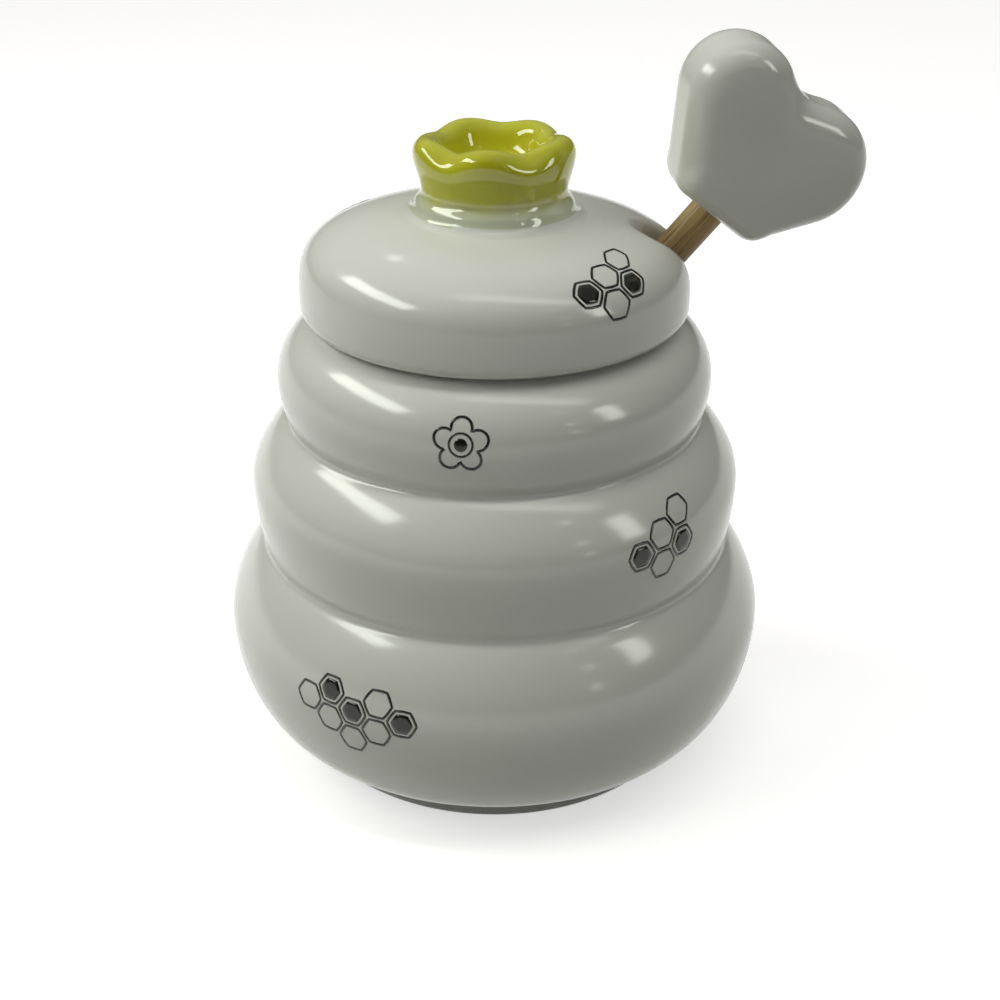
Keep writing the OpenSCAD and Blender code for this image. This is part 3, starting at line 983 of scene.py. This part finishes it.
class HONEYPOT_OT_head(bpy.types.Operator):
    """Turns the grooved head that picks up the honey"""

    bl_idname = "honeypot.head"
    bl_label = "Grooved Head"

    def execute(self, context):
        dipper = context.scene.honey_dipper
        bands, end_share = 2 * dipper.grooves + 1, 0.72
        pitch = dipper.head_l / bands
        outline = [[0, -dipper.head_l / 2]]
        for band in range(bands):
            for end in (0, 1):
                z = (band + end) * pitch - dipper.head_l / 2
                swell = (1 - end_share) * math.cos(z / dipper.head_l * math.pi)
                barrel = dipper.head_d / 2 * (end_share + swell)
                outline.append([barrel - dipper.groove * (band % 2), z])
        outline.append([0, dipper.head_l / 2])
        points, faces = turn(soften(np.array(outline), 0.28 * MM, 0.25 * MM), 128)
        middle = dipper.socket - stick_length(dipper) / 2 - dipper.head_l / 2
        points = moved_by(stick_frame(dipper, middle), points)
        finish = finish_named("turned_beech", turned_beech, dipper.lean)
        put_up("grooved_head", points, faces, [finish], "dipper", "dipper_head")
        return {"FINISHED"}


# Line art


def ring_line(path, width):
    """A closed line of even width along a path of flat spots that runs anticlockwise."""
    along = np.roll(path, -1, axis=0) - np.roll(path, 1, axis=0)
    out = np.column_stack([along[:, 1], -along[:, 0]])
    out /= np.linalg.norm(out, axis=1)[:, None]
    count = len(path)
    faces = [[k, k + count, (k + 1) % count + count, (k + 1) % count] for k in range(count)]
    return np.vstack([path - out * width / 2, path + out * width / 2]), faces


def filled(path):
    """A filled shape round its middle, in rings that can bend with a surface."""
    middle = path.mean(axis=0)
    count = len(path)
    spots = np.vstack([middle + (path - middle) * share for share in (1, 0.66, 0.33)] + [middle[None]])
    faces = []
    for ring in range(2):
        outer, inner = ring * count, (ring + 1) * count
        for k in range(count):
            after = (k + 1) % count
            faces.append([outer + k, outer + after, inner + after, inner + k])
    faces += [[2 * count + k, 2 * count + (k + 1) % count, 3 * count] for k in range(count)]
    return spots, faces


def hexagon(middle, radius, side_steps=5):
    """A drawn hexagon with a flat top and slightly bowed sides, in points so that it can bend."""
    corners = [np.array([math.cos(math.radians(60 * k)), math.sin(math.radians(60 * k))]) for k in range(7)]
    shares = np.arange(side_steps) / side_steps
    sides = [corners[k] * (1 - s) + corners[k + 1] * s for k in range(6) for s in shares]
    sides = np.array(sides)
    circle = sides / np.linalg.norm(sides, axis=1)[:, None] * 0.95
    return (0.72 * sides + 0.28 * circle) * radius + middle


def honeycomb(cells, cell=2.3 * MM, gap=0.34 * MM, width=0.36 * MM):
    """A cluster of outlined honeycomb cells, given as (column, row, full), with a solid core in full ones."""
    shapes = []
    for column, row, full in cells:
        across = column * 1.5 * (cell + gap / 2)
        up = (row + 0.5 * (column % 2)) * math.sqrt(3) * (cell + gap / 2)
        shapes.append(ring_line(hexagon((across, up), cell - width / 2), width))
        if full:
            shapes.append(filled(hexagon((across, up), 0.7 * cell)))
    return shapes


def blossom(radius=3.6 * MM, petals=5, width=0.36 * MM, tilt=0.3):
    """A small outlined blossom with a solid eye."""
    angle = np.linspace(0, 2 * math.pi, 120, endpoint=False)
    reach = radius * (0.58 + 0.42 * np.abs(np.cos((angle - tilt) * petals / 2)) ** 0.7)
    round_way = np.column_stack([np.cos(angle), np.sin(angle)])
    eye = round_way[::6] * 0.24 * radius
    inner = round_way[::3] * 0.42 * radius
    return [ring_line(round_way * reach[:, None], width), ring_line(inner, 0.8 * width), filled(eye)]


def lay_on(outline, spots, azimuth, height):
    """Places flat spots on a turned surface, with their middle at an azimuth and a height."""
    along = np.insert(np.cumsum(np.linalg.norm(np.diff(outline, axis=0), axis=1)), 0, 0)
    s = np.interp(height, outline[:, 1], along) + spots[:, 1]
    radius, up = np.interp(s, along, outline[:, 0]), np.interp(s, along, outline[:, 1])
    angle = math.radians(azimuth) + spots[:, 0] / radius
    return np.column_stack([radius * np.cos(angle), radius * np.sin(angle), up])


SMALL_COMB = [(0, 0, True), (1, 0, False), (1, -1, False), (2, 0, True), (2, 1, False)]
LARGE_COMB = [
    (0, 0, False), (0, 1, True), (1, 0, True), (1, -1, False),
    (2, 0, False), (2, 1, False), (3, 0, True), (-1, 0, False),
]


def print_on(name, target, outline, prints, body):
    """Prints motifs on a piece: each is its shapes, an azimuth and a height."""
    points, faces = [], []
    count = 0
    for shapes, azimuth, height in prints:
        for spots, shape_faces in shapes:
            points.append(lay_on(outline, spots, azimuth, height))
            faces += [[int(i) + count for i in face] for face in shape_faces]
            count += len(spots)
    finishes = [finish_named("fired_ink", fired_ink)]
    piece = put_up(name, np.vstack(points), faces, finishes, body)
    wrap = piece.modifiers.new("wrap", "SHRINKWRAP")
    wrap.target = target
    wrap.wrap_method = "NEAREST_SURFACEPOINT"
    wrap.wrap_mode = "ABOVE_SURFACE"
    wrap.offset = 0.03 * MM
    body_of_ink = piece.modifiers.new("thickness", "SOLIDIFY")
    body_of_ink.thickness = 0.06 * MM
    body_of_ink.offset = -1


class HONEYPOT_OT_prints(bpy.types.Operator):
    """Prints small honeycombs and blossoms on the pot and on the lid"""

    bl_idname = "honeypot.prints"
    bl_label = "Line Art"

    def execute(self, context):
        scene = context.scene
        pot, lid = scene.honey_pot, scene.honey_lid
        large, small, flower = honeycomb(LARGE_COMB), honeycomb(SMALL_COMB), blossom()
        on_pot = [
            (large, -124, 20 * MM), (small, 15, 17 * MM), (flower, 88, 22 * MM),
            (large, 150, 20 * MM), (small, -57, 43 * MM), (flower, 30, 43 * MM),
            (small, 112, 42 * MM), (flower, -98, 59.5 * MM), (flower, 170, 58 * MM),
        ]
        on_lid = [(small, -62, 76.5 * MM), (flower, 150, 77 * MM), (flower, 62, 76 * MM)]
        outside = soften(pot_outside(pot), 0.5 * MM)
        print_on("pot_print", bpy.data.objects["glazed_pot"], outside, on_pot, "pot")
        print_on("lid_print", bpy.data.objects["glazed_lid"], lid_dome(lid, pot.rim_z), on_lid, "lid")
        return {"FINISHED"}


# Stage


def seen_or_mirrored(tree):
    """1 for rays from the camera, in reflections and through glass, and 0 for light that only bounces."""
    path = add(tree, "ShaderNodeLightPath")
    shown = add(
        tree, "ShaderNodeMath",
        {0: path.outputs["Is Camera Ray"], 1: path.outputs["Is Glossy Ray"]}, operation="MAXIMUM",
    )
    return add(
        tree, "ShaderNodeMath",
        {0: shown.outputs[0], 1: path.outputs["Is Transmission Ray"]}, operation="MAXIMUM",
    ).outputs[0]


def paper_floor():
    """Matt white paper: near white where it is seen, and dimmer in the light that it throws back."""
    material, tree = new_finish("paper_floor")
    shown = seen_or_mirrored(tree)
    bounced = add(tree, "ShaderNodeBsdfDiffuse", {"Color": srgb("#A4A59E")})
    lit = add(tree, "ShaderNodeBsdfDiffuse", {"Color": srgb("#F7F4F8")})
    glow = add(tree, "ShaderNodeEmission", {"Color": srgb("#FFFFFF"), "Strength": 0.6})
    seen = add(tree, "ShaderNodeAddShader", {0: lit.outputs[0], 1: glow.outputs[0]})
    both = add(tree, "ShaderNodeMixShader", {0: shown, 1: bounced.outputs[0], 2: seen.outputs[0]})
    return close_finish(material, both)


def hang_window(name, azimuth, elevation, wide, tall, brightness, distance, turned=0.0):
    """A window of soft light that faces the pot, azimuth degrees round from the back towards the right.

    It looks wide by tall degrees from the pot, and distance metres off.
    """
    aim = Vector((0, 0, 50 * MM))
    a, e = math.radians(azimuth), math.radians(elevation)
    away = Vector((math.sin(a) * math.cos(e), math.cos(a) * math.cos(e), math.sin(e)))
    lamp = bpy.data.lights.new(name, "AREA")
    lamp.shape = "RECTANGLE"
    lamp.size, lamp.size_y = [2 * distance * math.tan(math.radians(size) / 2) for size in (wide, tall)]
    lamp.energy = brightness * math.pi * lamp.size * lamp.size_y
    lamp.color = (0.97, 1.0, 0.9)
    holder = bpy.data.objects.new(name, lamp)
    holder.location = aim + away * distance
    facing = away.to_track_quat("Z", "Y").to_matrix().to_4x4()
    holder.rotation_euler = (facing @ Matrix.Rotation(math.radians(turned), 4, "Z")).to_euler()
    bpy.context.scene.collection.objects.link(holder)
    return holder


class HONEYPOT_OT_stage(bpy.types.Operator):
    """Sets up the pale floor, the soft window light and the camera"""

    bl_idname = "honeypot.stage"
    bl_label = "Stage"

    def execute(self, context):
        scene = context.scene
        stage = scene.honey_stage
        side = 3.0
        mesh = bpy.data.meshes.new("floor")
        corners = [(-side, -side, 0), (side, -side, 0), (side, side, 0), (-side, side, 0)]
        mesh.from_pydata(corners, [], [(0, 1, 2, 3)])
        mesh.materials.append(paper_floor())
        floor = bpy.data.objects.new("floor", mesh)
        scene.collection.objects.link(floor)

        world = bpy.data.worlds.new("room")
        world.use_nodes = True
        tree = world.node_tree
        tree.nodes.clear()
        away = add(tree, "ShaderNodeTexCoord").outputs["Generated"]
        brightest = (-0.1, 0.35, 0.93)  # the ceiling is brightest above and a little behind the pot
        nearness = add(
            tree, "ShaderNodeVectorMath", {0: away, 1: brightest}, operation="DOT_PRODUCT"
        ).outputs["Value"]
        level = add(
            tree, "ShaderNodeMapRange",
            {"Value": nearness, "From Min": 0.28, "To Min": 0.05 * stage.ambient, "To Max": stage.ambient},
        )
        sky = add(tree, "ShaderNodeBackground", {"Color": srgb("#FFFFFA"), "Strength": level.outputs[0]})
        add(tree, "ShaderNodeOutputWorld", {"Surface": sky.outputs[0]})
        scene.world = world

        # Two windows light the glaze without being mirrored, and the others are only mirrored in it
        hang_window("left_daylight", -93, 42, 58, 13, 5.2, 0.45).visible_glossy = False
        hang_window("roof_daylight", 135, 73, 50, 8, 5.6, 1.1, -60).visible_glossy = False
        shines = [
            ("left_window", -96, 42, 48, 12, 8.5, 0.45), ("roof_light", 135, 73, 50, 8, 9.0, 1.1, -60),
            ("right_window", 116, 25.5, 10, 23, 7.0, 1.1), ("far_lamp", -22, 45, 3, 2, 8.0, 1.1),
        ]
        shines += [(f"right_pane_{up}", 139, up, 4, 2.5, 7.0, 1.1) for up in (46, 25, 11)]
        for shine in shines:
            hang_window(*shine).visible_diffuse = False

        scene.view_settings.view_transform = "Standard"
        camera = bpy.data.cameras.new("camera")
        camera.lens = stage.lens
        camera.shift_x = stage.shift
        camera.clip_start, camera.clip_end = 0.01, 20
        holder = bpy.data.objects.new("camera", camera)
        holder.location = (0, -stage.camera_back, stage.camera_z)
        holder.rotation_euler = (math.pi / 2 - stage.pitch, 0, 0)
        scene.collection.objects.link(holder)
        scene.camera = holder
        return {"FINISHED"}


class HONEYPOT_PT_panel(bpy.types.Panel):
    """Lists the pieces of the honey pot in the sidebar"""

    bl_idname = "HONEYPOT_PT_panel"
    bl_label = "Honey Pot"
    bl_space_type = "VIEW_3D"
    bl_region_type = "UI"
    bl_category = "Honey Pot"

    def draw(self, context):
        for operator in OPERATORS:
            self.layout.operator(operator.bl_idname)
        for name in GROUPS:
            group = getattr(context.scene, name)
            box = self.layout.box()
            for value in group.bl_rna.properties:
                if not value.is_readonly and value.identifier != "name":
                    box.prop(group, value.identifier)


GROUPS = {
    "honey_pot": PotSizes, "honey_lid": LidSizes, "honey_knob": KnobSizes, "honey_dipper": DipperSizes,
    "honey_finishes": Finishes, "honey_stage": StageSizes,
}
OPERATORS = [
    HONEYPOT_OT_stage, HONEYPOT_OT_pot, HONEYPOT_OT_lid, HONEYPOT_OT_knob,
    HONEYPOT_OT_heart, HONEYPOT_OT_stick, HONEYPOT_OT_head, HONEYPOT_OT_prints,
]


def register():
    for group in GROUPS.values():
        bpy.utils.register_class(group)
    for operator in OPERATORS:
        bpy.utils.register_class(operator)
    bpy.utils.register_class(HONEYPOT_PT_panel)
    for name, group in GROUPS.items():
        setattr(bpy.types.Scene, name, PointerProperty(type=group))


def unregister():
    for name in GROUPS:
        delattr(bpy.types.Scene, name)
    bpy.utils.unregister_class(HONEYPOT_PT_panel)
    for cls in [*OPERATORS, *GROUPS.values()]:
        bpy.utils.unregister_class(cls)


def main():
    register()
    bpy.ops.honeypot.stage()
    bpy.ops.honeypot.pot()
    bpy.ops.honeypot.lid()
    bpy.ops.honeypot.knob()
    bpy.ops.honeypot.heart()
    bpy.ops.honeypot.stick()
    bpy.ops.honeypot.head()
    bpy.ops.honeypot.prints()


if __name__ == "__main__":
    main()
